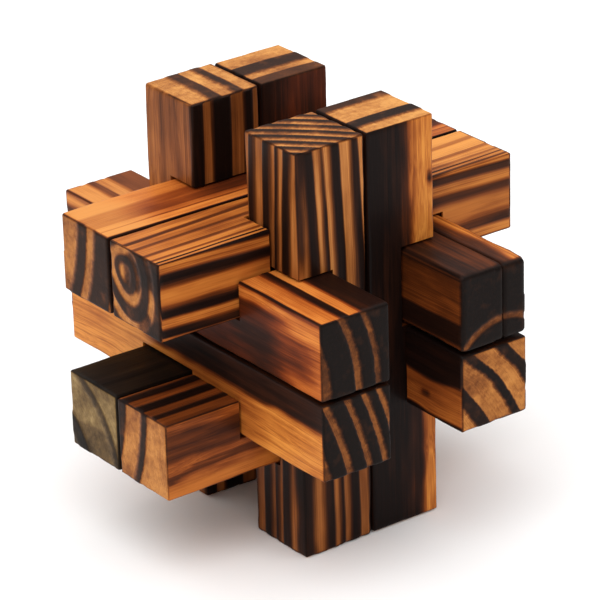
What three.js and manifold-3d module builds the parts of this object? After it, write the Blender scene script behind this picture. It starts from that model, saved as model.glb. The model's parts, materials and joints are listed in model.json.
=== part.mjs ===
// A wooden burr puzzle: twelve notched square sticks locked into a six-armed cross.
//
// Millimetres, +Z up. The puzzle stands on the lower ends of its four uprights, and its
// origin is the middle of that footprint. The front of the puzzle faces -Y.
//
// Four sticks run in each of three directions. In a family, two twins lie side by side and
// the two pairs of twins stand apart, and each family overlaps the next by half a stick.
// At each of the 24 crossings one of the two sticks has a notch half a stick deep, so every
// stick has two notches, all hidden while the puzzle is closed. Six of the sticks hold
// together as a front half, which slides off the other six towards the front.

import * as THREE from 'three';
import { mergeVertices } from 'three/addons/utils/BufferGeometryUtils.js';
import Module from 'manifold-3d';

const wasm = await Module();
wasm.setup();

// driving dimensions
const stickWidth = 14.7;
const stickLength = 76.5;
const fitGap = 0.3;
const edgeChamfer = 0.4;
const endChamfer = 0.4;

// what follows from them
const pitch = stickWidth + fitGap;
const notchDepth = pitch / 2;
const notchLength = pitch + fitGap;

const RIGHT = new THREE.Vector3(1, 0, 0);
const FRONT = new THREE.Vector3(0, -1, 0);
const UP = new THREE.Vector3(0, 0, 1);

// Each family of four: the way its sticks run, the way two twins lie beside each other and
// the way the pairs stand apart. An outer notch faces away from the twin and lies between
// the middle and the given end. An inner notch faces the other pair and lies one and a half
// times nearer that end. Both ends are worked out from the sides on which the stick lies.
const families = [
  {
    name: 'upright', along: UP, twin: RIGHT, apart: FRONT,
    outerNotchEnd: (twinSide, apartSide) => apartSide,
    innerNotchEnd: (twinSide, apartSide) => twinSide * apartSide,
  },
  {
    name: 'through_bar', along: FRONT, twin: UP, apart: RIGHT,
    outerNotchEnd: (twinSide, apartSide) => -twinSide * apartSide,
    innerNotchEnd: (twinSide) => -twinSide,
  },
  {
    name: 'cross_bar', along: RIGHT, twin: FRONT, apart: UP,
    outerNotchEnd: (twinSide, apartSide) => -twinSide * apartSide,
    innerNotchEnd: (twinSide, apartSide) => twinSide * apartSide,
  },
];

const sideWords = new Map([
  [RIGHT, { '-1': 'left', 1: 'right' }],
  [FRONT, { '-1': 'back', 1: 'front' }],
  [UP, { '-1': 'lower', 1: 'upper' }],
]);

// the torched colour of each stick, from golden to nearly black
const stickColours = {
  upright_left_back: 0x7a4a22,
  upright_left_front: 0x8a5a2c,
  upright_right_back: 0x3a1c12,
  upright_right_front: 0x4a2a18,
  through_bar_lower_left: 0x9a5424,
  through_bar_lower_right: 0x8c542c,
  through_bar_upper_left: 0x5a3014,
  through_bar_upper_right: 0x3c2618,
  cross_bar_back_lower: 0x6a5a44,
  cross_bar_back_upper: 0x7c3c1a,
  cross_bar_front_lower: 0x96481e,
  cross_bar_front_upper: 0xb4702a,
};

function toSolid(geometry) {
  const bare = geometry.clone();
  bare.deleteAttribute('normal');
  bare.deleteAttribute('uv');
  const merged = mergeVertices(bare, 1e-4);
  const mesh = new wasm.Mesh({
    numProp: 3,
    vertProperties: new Float32Array(merged.attributes.position.array),
    triVerts: new Uint32Array(merged.index.array),
  });
  return new wasm.Manifold(mesh);
}

function toGeometry(solid) {
  const mesh = solid.getMesh();
  const geometry = new THREE.BufferGeometry();
  geometry.setAttribute('position', new THREE.BufferAttribute(new Float32Array(mesh.vertProperties), 3));
  geometry.setIndex(new THREE.BufferAttribute(new Uint32Array(mesh.triVerts), 1));
  const flat = geometry.toNonIndexed();
  flat.computeVertexNormals();
  return flat;
}

// an un-notched stick about its own middle, running along Z, with its edges broken
function plainStick() {
  const half = stickWidth / 2;
  const flat = half - edgeChamfer;
  const corner = [new THREE.Vector2(half, flat), new THREE.Vector2(flat, half)];
  const middle = new THREE.Vector2();
  const quarters = [0, 1, 2, 3];
  const outline = quarters.flatMap((quarter) => (
    corner.map((point) => point.clone().rotateAround(middle, quarter * Math.PI / 2))
  ));
  const geometry = new THREE.ExtrudeGeometry(new THREE.Shape(outline), {
    depth: stickLength - 2 * endChamfer,
    bevelEnabled: true,
    bevelThickness: endChamfer,
    bevelSize: endChamfer,
    bevelOffset: -endChamfer,
    bevelSegments: 1,
  });
  geometry.translate(0, 0, endChamfer - stickLength / 2);
  return geometry;
}

// a turned copy of the plain stick, running along the given direction
function stickAlong(direction) {
  const turn = new THREE.Quaternion().setFromUnitVectors(UP, direction);
  return plainStick().applyQuaternion(turn);
}

// a block as long as one notch, reaching from the given depth outwards past the open side
function notchBlock(along, open, across, middle) {
  const overrun = stickWidth;
  const block = new THREE.Vector3()
    .addScaledVector(along, notchLength)
    .addScaledVector(open, overrun)
    .addScaledVector(across, 2 * overrun);
  const geometry = new THREE.BoxGeometry(Math.abs(block.x), Math.abs(block.y), Math.abs(block.z));
  const floor = stickWidth / 2 - notchDepth;
  const centre = along.clone().multiplyScalar(middle).addScaledVector(open, floor + overrun / 2);
  return geometry.translate(centre.x, centre.y, centre.z);
}

function makeStick(family, twinSide, apartSide) {
  const outward = family.twin.clone().multiplyScalar(twinSide);
  const inward = family.apart.clone().multiplyScalar(-apartSide);
  const outerMiddle = family.outerNotchEnd(twinSide, apartSide) * pitch / 2;
  const innerMiddle = family.innerNotchEnd(twinSide, apartSide) * pitch;
  const outerNotch = notchBlock(family.along, outward, family.apart, outerMiddle);
  const innerNotch = notchBlock(family.along, inward, family.twin, innerMiddle);
  const solid = toSolid(stickAlong(family.along))
    .subtract(toSolid(outerNotch))
    .subtract(toSolid(innerNotch));

  const sides = [sideWords.get(family.twin)[twinSide], sideWords.get(family.apart)[apartSide]];
  const name = `${family.name}_${sides.join('_')}`;
  const material = new THREE.MeshStandardMaterial({
    color: stickColours[name], roughness: 0.45, metalness: 0,
  });
  const stick = new THREE.Mesh(toGeometry(solid), material);
  stick.name = name;
  stick.position
    .addScaledVector(family.twin, twinSide * pitch / 2)
    .addScaledVector(family.apart, apartSide * pitch);
  return stick;
}

const puzzle = new THREE.Group();
puzzle.position.z = stickLength / 2;
for (const family of families) {
  for (const twinSide of [-1, 1]) {
    for (const apartSide of [-1, 1]) puzzle.add(makeStick(family, twinSide, apartSide));
  }
}

export default puzzle;
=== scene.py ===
"""A burr puzzle of torched, brushed and lacquered pine: twelve notched sticks and their wood.

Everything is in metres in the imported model's frame: +Z up, the front towards -Y, the left
towards -X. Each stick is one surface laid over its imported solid, with worn edges and grain
that stands in low ridges. Its growth rings are worked out once for every point, and both the
ridges and the wood's colours read them.
"""

import json
import math

import bpy
import numpy as np
from mathutils import Matrix, Vector


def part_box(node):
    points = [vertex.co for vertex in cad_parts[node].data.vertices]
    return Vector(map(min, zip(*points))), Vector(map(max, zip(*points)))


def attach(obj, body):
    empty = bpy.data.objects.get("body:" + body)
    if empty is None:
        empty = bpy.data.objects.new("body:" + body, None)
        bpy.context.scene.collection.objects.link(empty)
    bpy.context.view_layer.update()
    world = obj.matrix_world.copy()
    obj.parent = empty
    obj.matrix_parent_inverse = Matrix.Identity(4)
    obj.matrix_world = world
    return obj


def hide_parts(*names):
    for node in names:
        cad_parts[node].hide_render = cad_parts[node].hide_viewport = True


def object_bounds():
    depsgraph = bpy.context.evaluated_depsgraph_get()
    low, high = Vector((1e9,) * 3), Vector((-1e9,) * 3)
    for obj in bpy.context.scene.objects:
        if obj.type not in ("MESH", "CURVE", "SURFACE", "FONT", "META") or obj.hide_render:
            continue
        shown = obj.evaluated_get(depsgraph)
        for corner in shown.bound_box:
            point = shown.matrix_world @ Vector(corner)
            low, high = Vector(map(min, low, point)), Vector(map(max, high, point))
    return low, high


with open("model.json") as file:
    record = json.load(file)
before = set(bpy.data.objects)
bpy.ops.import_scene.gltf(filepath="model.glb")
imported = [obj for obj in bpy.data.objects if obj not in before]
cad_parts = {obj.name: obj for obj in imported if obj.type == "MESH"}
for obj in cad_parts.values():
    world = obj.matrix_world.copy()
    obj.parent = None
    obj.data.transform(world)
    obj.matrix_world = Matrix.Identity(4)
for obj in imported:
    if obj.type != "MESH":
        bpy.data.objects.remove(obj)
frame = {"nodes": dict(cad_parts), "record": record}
cad_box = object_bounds()

MM = 0.001
X, Y, Z = 0, 1, 2
low, high = (np.array(corner) for corner in cad_box)
middle = (low + high) / 2

# ---------------------------------------------------------------- the sticks' fit

stick_sizes = [np.subtract(*reversed(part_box(name))) for name in frame["nodes"]]
STICK_WIDTH = min(size.min() for size in stick_sizes)
FIT_GAP = 0.3 * MM
PITCH = STICK_WIDTH + FIT_GAP

# the way that counts as positive along each axis when the puzzle is described: right, front, up
TOWARDS = np.array([1.0, -1.0, 1.0])

# For sticks along each axis: the axis across which twins touch, the axis across which the
# pairs stand apart, and the ends that the outer and the inner notch lie towards.
FAMILIES = {
    Z: (X, Y, lambda twin, apart: apart, lambda twin, apart: twin * apart),
    Y: (Z, X, lambda twin, apart: -twin * apart, lambda twin, apart: -twin),
    X: (Y, Z, lambda twin, apart: -twin * apart, lambda twin, apart: twin * apart),
}

# a stick's section, by the axis it runs along, and the faces by the way they look
SECTION_AXES = {Z: (X, Y), Y: (X, Z), X: (Y, Z)}
FACES = {
    "left": (X, -1),
    "right": (X, 1),
    "front": (Y, -1),
    "back": (Y, 1),
    "under": (Z, -1),
    "top": (Z, 1),
}

# ---------------------------------------------------------------- how the wood is worked

# the radius of a worn edge, and how far it wanders slowly and quickly along the stick
EDGE_ROUND = 0.60 * MM
EDGE_WEAR = 0.22 * MM
EDGE_NICKS = 0.10 * MM
CREASE_ANGLE = math.radians(38)

# how far early wood is brushed out below late wood, and how far a face undulates
BRUSHED_DEPTH = 0.16 * MM
FACE_WAVE = 0.05 * MM
SPLIT_WIDTH = 0.22 * MM
SPLIT_DEPTH = 0.45 * MM

# how black soot, char and painted shade are: soot and painted shade towards the twin, soot along
# the edges, char in a split and in a knot
TWIN_SOOT_AND_SHADE = 0.85
EDGE_SOOT = 0.7
SPLIT_CHAR = 0.9
KNOT_CHAR = 0.9
KNOT_STRETCH = 1.6

# the soft edge of a torch mark in millimetres, across the stick, and how much softer along it
MARK_EDGE = 0.9
MARK_RUN = 5

# the lattice's steps, and how strongly its lines crowd towards the ends of a stretch
SECTION_STEP = 0.34 * MM
LENGTH_STEP = 0.85 * MM
CROWDING = 0.45

# the first seed of each kind of wandering
SLOW_RING_SEED = 0
QUICK_RING_SEED = 50
WEAR_SEED = 90
NICK_SEED = 91
WAVE_SEED = 130
SOOT_SEED = 170
SCORCH_SEED = 200
RUB_SEED = 600


def stick_frame(name):
    """A stick's lowest and highest corner, its middle and the axis that it runs along."""
    near, far = (np.array(corner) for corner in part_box(name))
    return near, far, (near + far) / 2, int(np.argmax(far - near))


def from_middle(points, name):
    """Each point's place to the right, the front and up of the stick's middle, in millimetres."""
    return (points - stick_frame(name)[2]) * TOWARDS / MM


def stretch(start, stop, step):
    """Stations from start to stop, closer together near both ends.

    With t even from 0 to 1, a station is start plus the length times a blend of t and of
    the half cosine (1 - cos(pi t)) / 2.
    """
    count = max(2, int(round((stop - start) / step)) + 1)
    t = np.linspace(0.0, 1.0, count)
    eased = (1 - CROWDING) * t + CROWDING * (1 - np.cos(np.pi * t)) / 2
    return start + (stop - start) * eased


def stations(breaks, step):
    """The stations of each stretch between neighbouring breaks, joined end to end."""
    inner = [stretch(a, b, step)[:-1] for a, b in zip(breaks, breaks[1:])]
    return np.concatenate(inner + [breaks[-1:]])


def notch_blocks(name):
    """The two blocks cut from a stick, each as its lowest and highest corner.

    The outer notch opens away from the stick's twin and lies between the puzzle's middle and
    one end. The inner notch opens towards the other pair and lies one pitch from the middle.
    Both are half a pitch deep and one pitch plus the fit gap long.
    """
    near, far, centre, along = stick_frame(name)
    twin, apart, outer_end, inner_end = FAMILIES[along]
    side = np.sign(centre - middle)
    twin_side, apart_side = side[twin] * TOWARDS[twin], side[apart] * TOWARDS[apart]
    places = (
        (twin, side[twin], outer_end(twin_side, apart_side) * PITCH / 2),
        (apart, -side[apart], inner_end(twin_side, apart_side) * PITCH),
    )
    blocks = []
    for open_axis, open_side, reach in places:
        block_low, block_high = near - STICK_WIDTH, far + STICK_WIDTH
        at = middle[along] + TOWARDS[along] * reach
        block_low[along] = at - (PITCH + FIT_GAP) / 2
        block_high[along] = at + (PITCH + FIT_GAP) / 2
        floor = centre[open_axis] - open_side * FIT_GAP / 2
        if open_side > 0:
            block_low[open_axis] = floor
        else:
            block_high[open_axis] = floor
        blocks.append((block_low, block_high))
    return blocks


def lattice_skin(filled, lines):
    """Corner points and four-sided faces of the skin round the filled cells of a lattice.

    A face stands wherever the filling changes along an axis. Its corners run round that axis
    one way where a filled cell ends and the other way where one starts, so every face points
    out of the wood. Only the corners that some face uses are kept.
    """
    shape = tuple(len(line) for line in lines)
    padded = np.pad(filled.astype(int), 1)
    faces = []
    for axis in range(3):
        keep = [slice(1, -1)] * 3
        keep[axis] = slice(None)
        change = np.diff(padded, axis=axis)[tuple(keep)]
        step_u, step_v = np.eye(3, dtype=int)[[(axis + 1) % 3, (axis + 2) % 3]]
        for turn in (-1, 1):
            corner = np.argwhere(change == turn)
            ring = [corner, corner + step_u, corner + step_u + step_v, corner + step_v][::-turn]
            faces.append(np.stack([np.ravel_multi_index(c.T, shape) for c in ring], axis=1))
    faces = np.concatenate(faces)
    used, faces = np.unique(faces, return_inverse=True)
    where = np.unravel_index(used, shape)
    points = np.stack([line[index] for line, index in zip(lines, where)], axis=1)
    return points, faces.reshape(-1, 4)


def ripple(values, seed, waves=5, longest=1.0):
    """A smooth wandering number from -1 to 1 for each value: a few sines of falling length.

    Sine k has a length of longest / k and a weight of 1 / k, and its phase is drawn from
    the seed.
    """
    phases = np.random.default_rng(seed).uniform(0, 2 * np.pi, waves)
    order = np.arange(1, waves + 1)
    turns = 2 * np.pi * np.multiply.outer(np.asarray(values) / longest, order) + phases
    return (np.sin(turns) / order).sum(axis=-1) / (1 / order).sum()


def smooth_step(value, start, stop):
    """0 below start, 1 above stop, and 3t^2 - 2t^3 between, with t even from 0 to 1."""
    t = np.clip((value - start) / (stop - start), 0.0, 1.0)
    return t * t * (3 - 2 * t)


# ---------------------------------------------------------------- the wood of each stick

# a mark that covers a whole face reaches past its ends
WHOLE = (-60, 60)

# Each tone is (how burnt, colour), from pale wood to char.
AMBER = (
    (0.00, (0.74, 0.28, 0.052)),
    (0.20, (0.50, 0.150, 0.025)),
    (0.40, (0.255, 0.060, 0.011)),
    (0.60, (0.100, 0.023, 0.005)),
    (0.80, (0.028, 0.0085, 0.004)),
    (1.00, (0.0062, 0.0027, 0.0020)),
)
TAN = (
    (0.00, (0.57, 0.225, 0.060)),
    (0.20, (0.39, 0.132, 0.031)),
    (0.40, (0.210, 0.061, 0.0135)),
    (0.60, (0.084, 0.024, 0.006)),
    (0.80, (0.026, 0.0082, 0.0038)),
    (1.00, (0.0062, 0.0027, 0.0019)),
)
RUST = (
    (0.00, (0.70, 0.23, 0.042)),
    (0.20, (0.46, 0.112, 0.018)),
    (0.40, (0.225, 0.041, 0.007)),
    (0.60, (0.086, 0.016, 0.004)),
    (0.80, (0.025, 0.0068, 0.003)),
    (1.00, (0.0062, 0.0026, 0.0019)),
)
OLIVE = (
    (0.00, (0.40, 0.27, 0.110)),
    (0.20, (0.235, 0.145, 0.052)),
    (0.40, (0.125, 0.070, 0.023)),
    (0.60, (0.052, 0.028, 0.009)),
    (0.80, (0.018, 0.010, 0.0045)),
    (1.00, (0.006, 0.004, 0.003)),
)
SAND = (
    (0.00, (0.70, 0.32, 0.082)),
    (0.20, (0.48, 0.180, 0.040)),
    (0.40, (0.26, 0.082, 0.0175)),
    (0.60, (0.105, 0.030, 0.007)),
    (0.80, (0.032, 0.0105, 0.004)),
    (1.00, (0.0054, 0.0026, 0.0018)),
)

# Lengths here are in millimetres from the middle of the stick, to the right, the front and
# up. A section has two of them: right and front for uprights, right and up for through bars,
# front and up for cross bars.
#   pith           where the tree's middle lies in the section
#   lean           how far the pith moves in the section for each millimetre along the stick
#   wander         how far the rings wander
#   fibre_push     how far the fibres push the rings
#   entry, exit    how far a band of late wood takes to grow in and to end
#   bands          the dark late wood, from, to and how dark, outwards from the middle's ring
#   end_bands      the same on the two sawn ends, which the torch marked otherwise
#   end_pith       where the rings of the sawn ends centre, if not on the pith
#   end_soft       how many times softer the bands' edges are on the ends
#   oval           how far from round the rings of the ends are
#   scorches       (face, (from, to) across the face, (from, to) along it, how deep)
#   rubs           (face, across, along, how far), where it stayed yellower and its bands faint
#   splits         where splits run along the stick, across its first section axis
#   knots          (face, place across the face, place along it, radius)
#   worn           how many times rounder the edges are than usual
#   base           how brown the pale wood is
#   tone, end_tone the colours from pale to black, on the sides and on the ends
PLAIN = dict(
    lean=(0.0, 0.0),
    wander=0.25,
    fibre_push=0.7,
    entry=0.9,
    exit=0.35,
    end_soft=1.3,
    oval=0.0,
    scorches=[],
    rubs=[],
    splits=[],
    knots=[],
    worn=1.0,
    base=0.2,
    tone=AMBER,
    end_tone=SAND,
)

WOODS = {
    "upright_left_back": dict(
        pith=(-118, -20),
        bands=[(-6.4, -3.2, 0.95), (-1.9, 2.5, 0.97), (4.7, 7.1, 0.95)],
        end_bands=[(-3.5, -0.2, 0.70), (1.7, 4.4, 0.72), (6.3, 9.0, 0.6)],
        end_pith=(-118, -2),
        scorches=[
            ("left", WHOLE, WHOLE, 0.16),
            ("left", (-3, 4), WHOLE, 0.22),
            ("front", WHOLE, WHOLE, 0.28),
        ],
        base=0.14,
        tone=TAN,
    ),
    "upright_right_back": dict(
        pith=(0, 120),
        bands=[(-5.0, -3.6, 0.8), (-1.0, 1.0, 0.9), (3.0, 4.4, 0.8)],
        end_bands=[(-9.0, -3.6, 0.6), (-2.3, 2.6, 0.72)],
        scorches=[
            ("front", WHOLE, WHOLE, 0.66),
            ("front", (-9, -1), WHOLE, 0.5),
        ],
        tone=RUST,
    ),
    "upright_left_front": dict(
        pith=(-85, 85),
        lean=(-0.02, 0.02),
        wander=0.2,
        fibre_push=0.5,
        bands=[
            (-8.6, -6.4, 0.9), (-6.0, -4.8, 0.85), (-4.5, -2.3, 0.92), (-1.2, 0.7, 0.9),
            (1.1, 2.6, 0.88), (3.2, 4.8, 0.88), (5.6, 7.2, 0.88), (8.0, 9.4, 0.85),
        ],
        end_bands=[
            (-9.9, -7.7, 0.8), (-7.1, -5.1, 0.8), (-4.7, -2.6, 0.8), (-2.1, 0.0, 0.8),
            (0.5, 2.5, 0.8), (3.0, 4.9, 0.8), (5.4, 7.3, 0.8), (7.8, 9.5, 0.8),
        ],
        end_soft=1.0,
        scorches=[
            ("front", (-9, -5.4), (16, 60), 0.75),
            ("front", (-9, -5.0), (-60, -17), 0.85),
            ("left", (4.8, 9), (-60, -17), 0.85),
            ("front", WHOLE, (-60, -17), 0.25),
            ("left", WHOLE, (-60, -17), 0.2),
            ("left", WHOLE, WHOLE, 0.14),
            ("top", WHOLE, WHOLE, 0.14),
        ],
        base=0.17,
        tone=TAN,
    ),
    "upright_right_front": dict(
        pith=(0, 120),
        bands=[(-4.2, -1.2, 0.93), (4.2, 8.0, 0.75)],
        end_bands=[(-4.6, -0.8, 0.86), (4.0, 8.0, 0.7)],
        scorches=[
            ("front", (-9, 0.5), WHOLE, 0.95),
            ("front", (-9, 1.9), WHOLE, 0.62),
            ("front", (-9, 3.1), WHOLE, 0.22),
            ("front", (-9, 4.3), (-60, -8), 0.9),
        ],
        knots=[("front", 6.3, 26.5, 0.6)],
        base=0.15,
    ),
    "through_bar_upper_left": dict(
        pith=(-33.8, -7.8),
        wander=0.2,
        bands=[(-4.9, -3.6, 0.85), (-0.7, 1.5, 0.9), (3.2, 9.5, 0.88)],
        end_bands=[(-6.3, -0.9, 0.99), (0.1, 3.4, 0.99), (4.1, 12.0, 0.99)],
        end_soft=0.7,
        scorches=[
            ("left", (-9, 4.6), (-60, 26), 0.66),
            ("left", (-4.5, 2.5), (14, 36), 0.4),
            ("front", WHOLE, WHOLE, 0.52),
        ],
        rubs=[
            ("top", WHOLE, (-60, -15), 0.5),
            ("left", WHOLE, (-60, -24), 0.4),
        ],
        base=0.12,
        tone=RUST,
    ),
    "through_bar_lower_left": dict(
        pith=(-57, -19),
        wander=0.2,
        bands=[(-1.5, 0.5, 0.8), (2.5, 4.5, 0.8), (6.0, 7.5, 0.8)],
        end_bands=[
            (-7.4, -3.8, 0.99), (-2.9, 0.3, 0.99), (1.0, 3.6, 0.99),
            (4.3, 6.5, 0.99), (7.1, 9.5, 0.99),
        ],
        end_soft=0.7,
        scorches=[
            ("left", (1.9, 9), (-14, 60), 0.84),
            ("left", (-7, 9), (-5, 20), 0.25),
            ("front", WHOLE, WHOLE, 0.48),
        ],
        base=0.12,
    ),
    "through_bar_upper_right": dict(
        pith=(2.0, -14.2),
        wander=0.15,
        fibre_push=0.4,
        entry=0.5,
        exit=0.4,
        bands=[(-2.2, 1.2, 0.8), (7.7, 8.6, 0.5)],
        end_bands=[(-11.0, -3.3, 0.98), (-2.6, 11.9, 0.99)],
        scorches=[
            ("top", (-9, 3.0), WHOLE, 0.66),
            ("top", (2.2, 4.8), WHOLE, 0.6),
            ("left", WHOLE, WHOLE, 0.44),
            ("front", WHOLE, WHOLE, 0.5),
        ],
        splits=[2.05],
        worn=2.0,
        base=0.24,
    ),
    "through_bar_lower_right": dict(
        pith=(-30, -33),
        wander=0.8,
        bands=[(-4.5, 3.4, 0.93), (-11.5, -9.4, 0.9)],
        end_bands=[(-7.6, -4.6, 0.88), (-0.8, 1.4, 0.95), (4.3, 7.0, 0.92)],
        end_pith=(-47, -36),
        end_soft=0.8,
        scorches=[
            ("left", WHOLE, WHOLE, 0.3),
            ("front", WHOLE, WHOLE, 0.18),
        ],
        knots=[("left", -3.2, 27.8, 0.6)],
        base=0.18,
    ),
    "cross_bar_back_upper": dict(
        pith=(-120, 0),
        bands=[(-2.4, 3.6, 0.36), (4.7, 5.2, 0.5)],
        end_bands=[(-3.4, 0.4, 0.8), (1.7, 8.5, 0.8)],
        end_pith=(-38, 8),
        end_soft=1.6,
        scorches=[
            ("top", (-9, 3.6), (-14, 60), 0.42),
            ("left", WHOLE, WHOLE, 0.22),
        ],
        rubs=[("top", WHOLE, (-60, -28), 0.55)],
        base=0.1,
        tone=RUST,
    ),
    "cross_bar_front_upper": dict(
        pith=(-8.0, -0.1),
        lean=(0.0, -0.031),
        wander=0.05,
        fibre_push=0.12,
        entry=0.24,
        exit=0.18,
        bands=[
            (-0.5, 0.3, 0.55), (1.3, 2.2, 0.4), (4.0, 5.0, 0.45),
            (6.1, 6.9, 0.4), (7.35, 7.96, 0.93), (8.35, 9.2, 0.93),
        ],
        end_bands=[(-1.5, 0.7, 0.72), (1.7, 4.8, 0.8), (5.9, 10.5, 0.74)],
        end_pith=(-2.6, 1.2),
        end_soft=3.5,
        oval=0.1,
        scorches=[
            ("left", (-3.0, 9), (0.5, 6.5), 0.7),
            ("left", (0.5, 9), (-9, -3), 0.6),
            ("right", (-9, 3.5), (1.5, 9), 0.6),
            ("left", WHOLE, WHOLE, 0.14),
            ("front", WHOLE, WHOLE, 0.14),
            ("top", WHOLE, (-60, 14), 0.13),
        ],
        rubs=[
            ("front", WHOLE, (20, 60), 0.3),
            ("top", WHOLE, (20, 60), 0.35),
        ],
        base=0.12,
    ),
    "cross_bar_back_lower": dict(
        pith=(-14, -12),
        wander=0.4,
        bands=[(-3.0, 1.5, 0.8), (5.0, 7.0, 0.6)],
        end_bands=[(-8.9, -5.0, 0.85), (1.6, 4.2, 0.55)],
        end_soft=1.8,
        scorches=[
            ("top", WHOLE, WHOLE, 0.86),
            ("left", WHOLE, (-60, -2), 0.3),
        ],
        base=0.26,
        tone=OLIVE,
        end_tone=OLIVE,
    ),
    "cross_bar_front_lower": dict(
        pith=(-88, 15),
        bands=[(-7.7, -5.0, 0.9), (-3.4, -0.5, 0.95), (1.1, 3.2, 0.85), (7.5, 7.9, 0.6)],
        end_bands=[(-9.0, -5.4, 0.85), (-1.7, 0.8, 0.84)],
        end_pith=(-55, 12),
        scorches=[
            ("front", (-0.3, 5.4), WHOLE, 0.5),
            ("front", WHOLE, WHOLE, 0.24),
            ("top", WHOLE, WHOLE, 0.4),
            ("left", WHOLE, WHOLE, 0.14),
        ],
        base=0.13,
    ),
}
WOODS = {name: {**PLAIN, **wood} for name, wood in WOODS.items()}
STICK_NUMBER = {name: number for number, name in enumerate(sorted(WOODS))}


def ring_distance(points, name, wood, pith, oval=0.0):
    """How many millimetres of wood lie between each point's ring and the ring through the middle.

    It is the distance to the pith less the middle's own distance to it. The pith leans along
    the stick, and two slow ripples push the rings about. An oval ring's distance is also
    multiplied by 1 + oval (cos(2 turn - 1) + cos(3 turn + 0.6) / 2), with turn the angle
    round the pith.
    """
    along = stick_frame(name)[3]
    place = from_middle(points, name)
    first, second = (place[:, axis] for axis in SECTION_AXES[along])
    length = place[:, along]
    seed = STICK_NUMBER[name]
    wander = ripple(length + 0.8 * first, seed + SLOW_RING_SEED, longest=95.0)
    wander += 0.5 * ripple(length - 1.7 * second, seed + QUICK_RING_SEED, longest=41.0)
    first = first - pith[0] - wood["lean"][0] * length
    second = second - pith[1] - wood["lean"][1] * length
    away = np.hypot(first, second)
    turn = np.arctan2(second, first)
    away = away * (1 + oval * (np.cos(2 * turn - 1.0) + 0.5 * np.cos(3 * turn + 0.6)))
    return away - math.hypot(*pith) + wood["wander"] * wander


def late_wood(rings, bands, wood):
    """How dark each point's ring is, from 0 to 1: each band grows in slowly and ends quickly."""
    dark = np.zeros_like(rings)
    for start, stop, depth in bands:
        grown = smooth_step(rings, start, start + wood["entry"])
        ended = smooth_step(rings, stop - wood["exit"], stop)
        dark = np.maximum(dark, depth * grown * (1 - ended))
    return dark


def mark_window(points, outward, name, face, sideways, lengthwise, seed):
    """How far inside a mark on one face each point lies, from 0 to 1.

    It is a smooth step at each of the mark's four edges, multiplied together and by how much
    the surface there faces the mark's way. Two ripples make the edges wander.
    """
    along = stick_frame(name)[3]
    place = from_middle(points, name)
    axis, sign = FACES[face]
    side_axis, run_axis = SECTION_AXES[along] if axis == along else (3 - axis - along, along)
    side = place[:, side_axis] + 0.5 * ripple(place[:, run_axis], seed, longest=30.0)
    run = place[:, run_axis] + 2.0 * ripple(place[:, side_axis], seed + 5, longest=12.0)
    window = smooth_step(side, sideways[0] - MARK_EDGE, sideways[0] + MARK_EDGE)
    window *= 1 - smooth_step(side, sideways[1] - MARK_EDGE, sideways[1] + MARK_EDGE)
    run_edge = MARK_EDGE if axis == along else MARK_RUN * MARK_EDGE
    window *= smooth_step(run, lengthwise[0] - run_edge, lengthwise[0] + run_edge)
    window *= 1 - smooth_step(run, lengthwise[1] - run_edge, lengthwise[1] + run_edge)
    return window * smooth_step(outward[:, axis] * sign, 0.35, 0.8)


def scorch_and_shade_depth(points, outward, name, wood):
    """How far the torch blackened each point, with painted shade added on the faces towards the
    twin, from 0 to 1.

    Each torch mark lies on one face. The face towards the stick's twin is darkened all over,
    partly as soot and partly as painted shade for the dark gap between the twins, and a knot
    is a bell-shaped spot, longer along the stick. All of them add up as layers: what one leaves
    pale, the next may darken.
    """
    centre, along = stick_frame(name)[2:]
    place = from_middle(points, name)
    twin = FAMILIES[along][0]
    towards_twin = -np.sign((centre - middle)[twin])
    # the face towards the twin: soot, and painted shade where the gap between the twins falls dark
    pale = 1 - TWIN_SOOT_AND_SHADE * smooth_step(outward[:, twin] * towards_twin, 0.25, 0.75)
    first_seed = SCORCH_SEED + 10 * STICK_NUMBER[name]
    for seed, (*mark, depth) in enumerate(wood["scorches"], first_seed):
        pale *= 1 - depth * mark_window(points, outward, name, *mark, seed)
    for face, side_at, run_at, radius in wood["knots"]:
        axis, sign = FACES[face]
        side, run = place[:, 3 - axis - along] - side_at, place[:, along] - run_at
        spot = np.exp(-(side**2 + (run / KNOT_STRETCH)**2) / radius**2)
        pale *= 1 - KNOT_CHAR * spot * (outward[:, axis] * sign > 0.5)
    return 1 - pale


def rubbed_off(points, outward, name, wood):
    """How far the torched bands were rubbed off each point, from 0 to 1: the deepest mark's."""
    rubbed = np.zeros(len(points))
    first_seed = RUB_SEED + 10 * STICK_NUMBER[name]
    for seed, (*mark, amount) in enumerate(wood["rubs"], first_seed):
        rubbed = np.maximum(rubbed, amount * mark_window(points, outward, name, *mark, seed))
    return rubbed


def stick_lattice(name, wood):
    """The lattice lines of a stick's box, and which of its cells hold wood.

    Lines lie on every plane of the two notches and beside every split. A cell is wood unless
    its middle is inside a notch.
    """
    near, far, centre, along = stick_frame(name)
    blocks = notch_blocks(name)
    lines = []
    for axis in range(3):
        planes = [corner[axis] for block in blocks for corner in block]
        if axis == SECTION_AXES[along][0]:
            planes += [centre[axis] + split * TOWARDS[axis] * MM for split in wood["splits"]]
        inside = [plane for plane in planes if near[axis] + MM < plane < far[axis] - MM]
        breaks = np.unique(np.round([near[axis], *inside, far[axis]], 7))
        lines.append(stations(breaks, LENGTH_STEP if axis == along else SECTION_STEP))
    middles = [(line[1:] + line[:-1]) / 2 for line in lines]
    cells = np.stack(np.meshgrid(*middles, indexing="ij"), axis=-1)
    filled = np.ones(cells.shape[:3], dtype=bool)
    for block_low, block_high in blocks:
        filled &= ~((cells > block_low) & (cells < block_high)).all(axis=-1)
    return lines, filled


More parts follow.
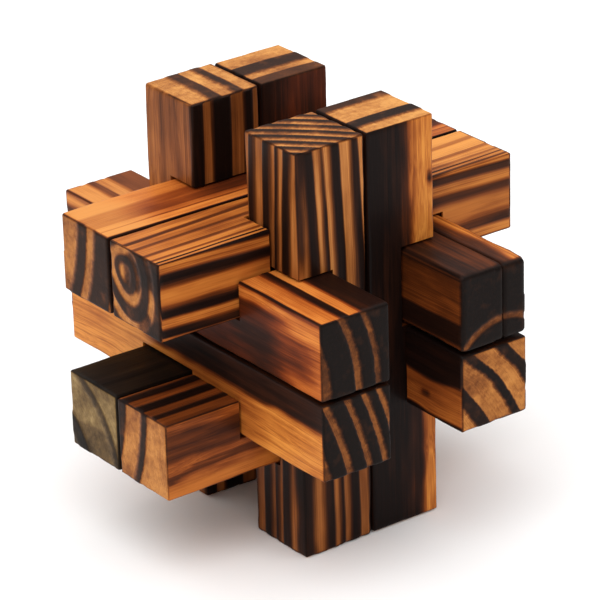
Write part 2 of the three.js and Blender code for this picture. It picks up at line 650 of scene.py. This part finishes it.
def worn_edges(points, name, wood):
    """How deeply the stick is rounded at each point, and how sooty an edge is there.

    The depth is the usual radius plus a slow and a quick ripple along the stick, times how
    worn the stick is. The soot is one more ripple. Each edge has ripples of its own.
    """
    centre, along = stick_frame(name)[2:]
    edge_run = points[:, along] / MM + np.sign(points - centre) @ (11, 22, 33)
    seed = STICK_NUMBER[name]
    wear = EDGE_ROUND + EDGE_WEAR * ripple(edge_run, seed + WEAR_SEED, longest=37.0)
    wear += EDGE_NICKS * ripple(edge_run, seed + NICK_SEED, waves=7, longest=11.0)
    soot = (1 + ripple(edge_run, seed + SOOT_SEED, longest=31.0)) / 2
    return wood["worn"] * wear[:, None], EDGE_SOOT * soot


def stick_surface(name, wood):
    """A stick's points, faces and what its finish reads at each point.

    The skin of the stick's lattice is worn round at its outer edges: each point is drawn
    towards the box shrunk by the wear and stands off it by no more than that wear. Early
    wood is brushed out below late wood by a depth that follows the rings, a face undulates a
    little, and a split is a narrow bell-shaped groove. The notches stay as they were sawn.
    """
    near, far, centre, along = stick_frame(name)
    points, faces = lattice_skin(*reversed(stick_lattice(name, wood)))
    wear, edge_soot = worn_edges(points, name, wood)
    heart = np.clip(points, near + wear, far - wear)
    reach = np.linalg.norm(points - heart, axis=1, keepdims=True)
    outward = np.divide(points - heart, reach, out=np.zeros_like(points), where=reach > 1e-9)
    sawn = (reach < 0.95 * wear)[:, 0].astype(float)

    end = smooth_step(np.abs(outward[:, along]), 0.5, 0.85)
    rings = ring_distance(points, name, wood, wood["pith"])
    end_rings = ring_distance(points, name, wood, wood.get("end_pith", wood["pith"]), wood["oval"])
    rings += end * (end_rings - rings)
    side_dark = late_wood(rings, wood["bands"], wood)
    end_dark = late_wood(rings, wood["end_bands"], wood)
    dark = side_dark + end * (end_dark - side_dark)

    run = points[:, along] / MM
    wave = (1 + ripple(run, STICK_NUMBER[name] + WAVE_SEED, longest=60.0)) / 2
    split = np.zeros(len(points))
    for at in wood["splits"]:
        beside = (from_middle(points, name)[:, SECTION_AXES[along][0]] - at) * MM / SPLIT_WIDTH
        split = np.maximum(split, np.exp(-beside**2))
    hollow = BRUSHED_DEPTH * (1 - dark) + FACE_WAVE * wave + SPLIT_DEPTH * split
    skin = heart + np.minimum(reach, wear - hollow[:, None]) * outward

    # 0 on a face and 1 on an edge
    edge = smooth_step(1 - np.abs(outward).max(axis=1), 0.01, 0.15)
    # torch marks and edge soot, with painted shade on the faces towards the twin
    scorch_and_shade = 1 - (1 - scorch_and_shade_depth(skin, outward, name, wood)) * (1 - edge_soot * edge)
    kept = {
        "rings": rings,
        "scorch_and_shade": np.maximum(scorch_and_shade, SPLIT_CHAR * split),
        "rubbed": rubbed_off(skin, outward, name, wood),
        "sawn": sawn,
        "end": end,
    }
    return skin, faces, kept


def make_stick(name, wood):
    """The finished stick: its surface as a mesh, with all that its finish reads kept on it."""
    points, faces, kept = stick_surface(name, wood)
    mesh = bpy.data.meshes.new("wood_" + name)
    mesh.from_pydata(points.tolist(), [], faces.tolist())
    for title, values in kept.items():
        layer = mesh.attributes.new(title, "FLOAT", "POINT")
        layer.data.foreach_set("value", values.astype(np.float32))
    mesh.shade_smooth()
    mesh.set_sharp_from_angle(angle=CREASE_ANGLE)
    mesh.update()
    stick = bpy.data.objects.new("wood_" + name, mesh)
    bpy.context.scene.collection.objects.link(stick)
    return stick


# ---------------------------------------------------------------- the finish

# how many millimetres of wood the ring ramps reach to either side of the middle's ring
RING_SPAN = 12.0

# the fine ring lines: how many there are, and how far apart two sticks' lines are drawn
LINES_PER_MM = 1.6
LINES_APART = 13.7

# each fibre noise: grains to the metre across the stick and along it, detail, starting place
FINE_FIBRES = (2600.0, 90.0, 3.0, 3.1)
STREAKS = (900.0, 22.0, 4.0, 7.7)
PATCHES = (160.0, 40.0, 3.0, 1.3)
BREAKS = (260.0, 26.0, 2.0, 5.9)

# how much lines and fibres change pale wood, and how much paler rubbed wood is
LINE_CONTRAST = 0.7
STREAK_CONTRAST = 0.45
PATCH_CONTRAST = 0.9
FINE_CONTRAST = 0.16
RUBBED_PALER = 0.3

# how strong a band is before it breaks up, how far it does, and its loss where it was sawn
BAND_STRENGTH = 1.12
BAND_LIMIT = 1.04
BAND_BREAKS = 1.9
SAWN_LOSS = 0.5

# how uneven the torch was along streaks and over patches
SCORCH_STREAKS = 0.5
SCORCH_PATCHES = 0.7

# how rough pale wood is and how much rougher char and sawn wood are, the lacquer, the grain
PALE_ROUGHNESS = 0.36
CHAR_ROUGHER = 0.14
SAWN_ROUGHER = 0.3
LACQUER = 0.04
LACQUER_ROUGHNESS = 0.2
WOOD_SPECULAR = 0.06
GRAIN_STRENGTH = 0.3
GRAIN_HEIGHT = 0.25 * MM
STREAK_RELIEF = 0.6
FINE_RELIEF = 0.4


class Nodes:
    """A small helper that adds shader nodes to one material and joins them."""

    def __init__(self, title):
        self.material = bpy.data.materials.new(title)
        self.material.use_nodes = True
        self.tree = self.material.node_tree
        self.tree.nodes.clear()

    def add(self, kind, settings=None, **inputs):
        """A new node. Its inputs are given by name, or by number as i0, i1 and so on."""
        node = self.tree.nodes.new(kind)
        for key, value in (settings or {}).items():
            setattr(node, key, value)
        for key, value in inputs.items():
            numbered = key[0] == "i" and key[1:].isdigit()
            socket = node.inputs[int(key[1:]) if numbered else key.replace("_", " ")]
            if isinstance(value, bpy.types.NodeSocket):
                self.tree.links.new(value, socket)
            else:
                socket.default_value = value
        return node

    def math(self, operation, *values, clamp=False):
        """The result of one sum on numbers or sockets."""
        numbered = {f"i{k}": value for k, value in enumerate(values)}
        settings = {"operation": operation, "use_clamp": clamp}
        return self.add("ShaderNodeMath", settings, **numbered).outputs[0]

    def ramp(self, factor, stops):
        """The colour at a factor between stops of (place, colour)."""
        node = self.add("ShaderNodeValToRGB", i0=factor)
        elements = node.color_ramp.elements
        elements[0].position, elements[1].position = stops[0][0], stops[-1][0]
        while len(elements) < len(stops):
            elements.new(0.5)
        for element, (place, colour) in zip(elements, stops):
            element.position = place
            element.color = (*colour, 1.0)
        return node.outputs[0]

    def noise(self, settings=None, **inputs):
        """Noise from 0 to 1."""
        return self.add("ShaderNodeTexNoise", settings, **inputs).outputs["Fac"]

    def mix(self, kind, factor, first, second):
        """A blend of two numbers or colours, which the node takes on sockets of their own."""
        at, result = (2, 0) if kind == "FLOAT" else (6, 2)
        sockets = {"i0": factor, f"i{at}": first, f"i{at + 1}": second}
        return self.add("ShaderNodeMix", {"data_type": kind}, **sockets).outputs[result]


def band_stops(bands, wood, soft=1.0):
    """The late-wood bands as stops of a grey ramp over the whole span of rings.

    A band's edges are its wood's entry and exit, times how soft they are. It grows in over
    no more than the first 3/5 of its width, and ends within the rest.
    """
    stops = []
    for start, stop, depth in sorted(bands):
        grown = start + min(soft * wood["entry"], 0.6 * (stop - start))
        ending = stop - min(soft * wood["exit"], 0.39 * (stop - start))
        for edge, grey in ((start, 0.0), (grown, depth), (ending, depth), (stop, 0.0)):
            place = (edge + RING_SPAN) / (2 * RING_SPAN)
            stops.append((min(max(place, 0.0), 1.0), (grey,) * 3))
    return stops


def torched_pine(name, wood):
    """One stick's finish: rings, torch marks with painted shade, and fibre add up to a burn, and
    the burn picks the tone.

    burn = 1 - (1 - base - ring lines) (1 - bands) (1 - torch marks and painted shade), with streaks
    and patches worked into each of the three. Rubbed wood and sawn ends take the yellower end tone.
    """
    along = stick_frame(name)[3]
    nodes = Nodes("torched_pine_" + name)
    seed = STICK_NUMBER[name]
    place = nodes.add("ShaderNodeTexCoord").outputs["Object"]
    rings, scorch_and_shade, rubbed, sawn, end = (
        nodes.add("ShaderNodeAttribute", {"attribute_name": title}).outputs["Fac"]
        for title in ("rings", "scorch_and_shade", "rubbed", "sawn", "end")
    )

    def fibres(across, lengthwise, detail, offset):
        """Noise from -0.5 to 0.5, with so many grains to the metre across and along the stick."""
        scale = [across] * 3
        scale[along] = lengthwise
        shift = (offset, seed, -offset)
        drawn = nodes.add("ShaderNodeMapping", i0=place, i1=shift, i3=tuple(scale)).outputs[0]
        grains = nodes.noise(i0=drawn, Scale=1.0, Detail=detail, Roughness=0.6)
        return nodes.math("SUBTRACT", grains, 0.5)

    fine, streaks, patches, breaks = (
        fibres(*noise) for noise in (FINE_FIBRES, STREAKS, PATCHES, BREAKS)
    )

    pushed = nodes.math("MULTIPLY_ADD", streaks, wood["fibre_push"], rings)
    ring_place = nodes.math("MULTIPLY_ADD", pushed, 1 / (2 * RING_SPAN), 0.5)
    side_bands = nodes.ramp(ring_place, band_stops(wood["bands"], wood))
    end_bands = nodes.ramp(ring_place, band_stops(wood["end_bands"], wood, wood["end_soft"]))
    bands = nodes.mix("FLOAT", end, side_bands, end_bands)
    line_place = nodes.math("MULTIPLY_ADD", pushed, LINES_PER_MM, seed * LINES_APART)
    lines = nodes.noise({"noise_dimensions": "1D"}, W=line_place, Detail=3.0, Roughness=0.7)
    lines = nodes.math("SUBTRACT", lines, 0.5)

    pale = nodes.math("MULTIPLY_ADD", lines, -LINE_CONTRAST, 1 - wood["base"])
    pale = nodes.math("MULTIPLY_ADD", rubbed, RUBBED_PALER, pale)
    pale = nodes.math("MULTIPLY_ADD", streaks, -STREAK_CONTRAST, pale)
    pale = nodes.math("MULTIPLY_ADD", patches, -PATCH_CONTRAST, pale, clamp=True)

    # a band fades out here and there, in the sawn notches and where it was rubbed
    faded = nodes.math("MULTIPLY_ADD", breaks, BAND_BREAKS, BAND_STRENGTH)
    faded = nodes.math("MULTIPLY_ADD", sawn, -SAWN_LOSS, faded)
    faded = nodes.math("MINIMUM", faded, BAND_LIMIT)
    bands = nodes.math("MULTIPLY", bands, faded, clamp=True)
    bands = nodes.math("MULTIPLY", bands, nodes.math("SUBTRACT", 1.0, rubbed))
    unbanded = nodes.math("SUBTRACT", 1.0, bands)

    # the torch marks and the painted shade towards the twin, made uneven by streaks and patches
    uneven = nodes.math("MULTIPLY_ADD", streaks, SCORCH_STREAKS, 1.0)
    uneven = nodes.math("MULTIPLY_ADD", patches, SCORCH_PATCHES, uneven)
    scorched_and_shaded = nodes.math("MULTIPLY", scorch_and_shade, uneven)
    unscorched_unshaded = nodes.math("SUBTRACT", 1.0, scorched_and_shaded, clamp=True)

    pale = nodes.math("MULTIPLY", pale, unbanded)
    pale = nodes.math("MULTIPLY", pale, unscorched_unshaded)
    burn = nodes.math("SUBTRACT", 1.0, pale, clamp=True)
    burn = nodes.math("MULTIPLY_ADD", fine, FINE_CONTRAST, burn, clamp=True)
    yellower = nodes.math("MAXIMUM", end, rubbed)
    side_tone, end_tone = nodes.ramp(burn, wood["tone"]), nodes.ramp(burn, wood["end_tone"])
    colour = nodes.mix("RGBA", yellower, side_tone, end_tone)

    # char is a little duller than pale wood, and the sawn notches are rough
    roughness = nodes.math("MULTIPLY_ADD", burn, CHAR_ROUGHER, PALE_ROUGHNESS)
    roughness = nodes.math("MULTIPLY_ADD", sawn, SAWN_ROUGHER, roughness, clamp=True)
    grain = nodes.math("MULTIPLY", fine, FINE_RELIEF)
    grain = nodes.math("MULTIPLY_ADD", streaks, STREAK_RELIEF, grain)
    bump = nodes.add("ShaderNodeBump", Strength=GRAIN_STRENGTH, Distance=GRAIN_HEIGHT, Height=grain)
    shader = nodes.add(
        "ShaderNodeBsdfPrincipled",
        Base_Color=colour,
        Roughness=roughness,
        Normal=bump.outputs[0],
        Coat_Weight=LACQUER,
        Coat_Roughness=LACQUER_ROUGHNESS,
        Specular_IOR_Level=WOOD_SPECULAR,
    )
    nodes.add("ShaderNodeOutputMaterial", Surface=shader.outputs[0])
    return nodes.material


bodies = frame["record"]["behaviour"]["bodies"]
for name, wood in WOODS.items():
    stick = make_stick(name, wood)
    stick.data.materials.append(torched_pine(name, wood))
    body = next(body for body, members in bodies.items() if name in members)
    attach(stick, body)
    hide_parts(name)

# ---------------------------------------------------------------- floor, light and camera

FLOOR_REACH = 3.0
FLOOR_WHITE = (0.97, 0.97, 0.97, 1)
SKY_HORIZON = 0.32
SKY_ZENITH = 1.55

# angles in degrees: azimuth from the front, positive to the right, and elevation
KEY_LAMP = dict(azimuth=-60, elevation=60, distance=0.9, size=0.7, power=2.6)
VIEW = dict(azimuth=-35.96, elevation=24.43, roll=-1.70, distance=42.87 * PITCH)
LENS, SENSOR_WIDTH = 217.5, 36.0
SHIFT_X, SHIFT_Y = 0.0128, -0.0038


def outward_from(azimuth, elevation):
    """The unit direction from the puzzle's middle at an azimuth and elevation in degrees."""
    turn, rise = math.radians(azimuth), math.radians(elevation)
    reach = math.cos(rise)
    return Vector((math.sin(turn) * reach, -math.cos(turn) * reach, math.sin(rise)))


def make_floor():
    """A wide pale floor under the puzzle's feet."""
    signs = ((-1, -1), (1, -1), (1, 1), (-1, 1))
    corners = [(x * FLOOR_REACH, y * FLOOR_REACH, 0) for x, y in signs]
    mesh = bpy.data.meshes.new("floor")
    mesh.from_pydata(corners, [], [(0, 1, 2, 3)])
    floor = bpy.data.objects.new("floor", mesh)
    bpy.context.scene.collection.objects.link(floor)
    nodes = Nodes("pale_floor")
    shader = nodes.add("ShaderNodeBsdfPrincipled", Base_Color=FLOOR_WHITE, Roughness=0.9)
    nodes.add("ShaderNodeOutputMaterial", Surface=shader.outputs[0])
    mesh.materials.append(nodes.material)


def make_lamp(title, azimuth, elevation, distance, size, power):
    """A square soft lamp aimed at the puzzle's middle."""
    back = outward_from(azimuth, elevation)
    data = bpy.data.lights.new(title, "AREA")
    data.shape, data.size, data.energy = "SQUARE", size, power
    lamp = bpy.data.objects.new(title, data)
    lamp.location = Vector(middle) + back * distance
    lamp.rotation_euler = back.to_track_quat("Z", "Y").to_euler()
    bpy.context.scene.collection.objects.link(lamp)


def make_sky():
    """A white surround, several times as bright overhead as at the horizon."""
    world = bpy.data.worlds.new("surround")
    world.use_nodes = True
    tree = world.node_tree
    background = tree.nodes["Background"]
    background.inputs["Color"].default_value = (1, 1, 1, 1)
    place = tree.nodes.new("ShaderNodeTexCoord")
    split = tree.nodes.new("ShaderNodeSeparateXYZ")
    brightness = tree.nodes.new("ShaderNodeMapRange")
    brightness.interpolation_type = "SMOOTHSTEP"
    brightness.inputs["To Min"].default_value = SKY_HORIZON
    brightness.inputs["To Max"].default_value = SKY_ZENITH
    tree.links.new(place.outputs["Generated"], split.inputs[0])
    tree.links.new(split.outputs["Z"], brightness.inputs["Value"])
    tree.links.new(brightness.outputs[0], background.inputs["Strength"])
    bpy.context.scene.world = world


def make_camera(azimuth, elevation, roll, distance):
    """A long lens to the left of the front, looking a little down, with a slight roll."""
    turn, tilt = math.radians(azimuth), math.radians(roll)
    back = outward_from(azimuth, elevation)
    sideways = Vector((math.cos(turn), math.sin(turn), 0))
    upwards = back.cross(sideways)
    rolled_side = sideways * math.cos(tilt) + upwards * math.sin(tilt)
    rolled_up = upwards * math.cos(tilt) - sideways * math.sin(tilt)
    data = bpy.data.cameras.new("camera")
    data.lens, data.sensor_width = LENS, SENSOR_WIDTH
    data.shift_x, data.shift_y = SHIFT_X, SHIFT_Y
    camera = bpy.data.objects.new("camera", data)
    facing = Matrix((rolled_side, rolled_up, back)).transposed().to_4x4()
    camera.matrix_world = Matrix.Translation(Vector(middle) + back * distance) @ facing
    bpy.context.scene.collection.objects.link(camera)
    bpy.context.scene.camera = camera


bpy.context.scene.view_settings.view_transform = "Standard"
make_floor()
make_sky()
make_lamp("key", **KEY_LAMP)
make_camera(**VIEW)
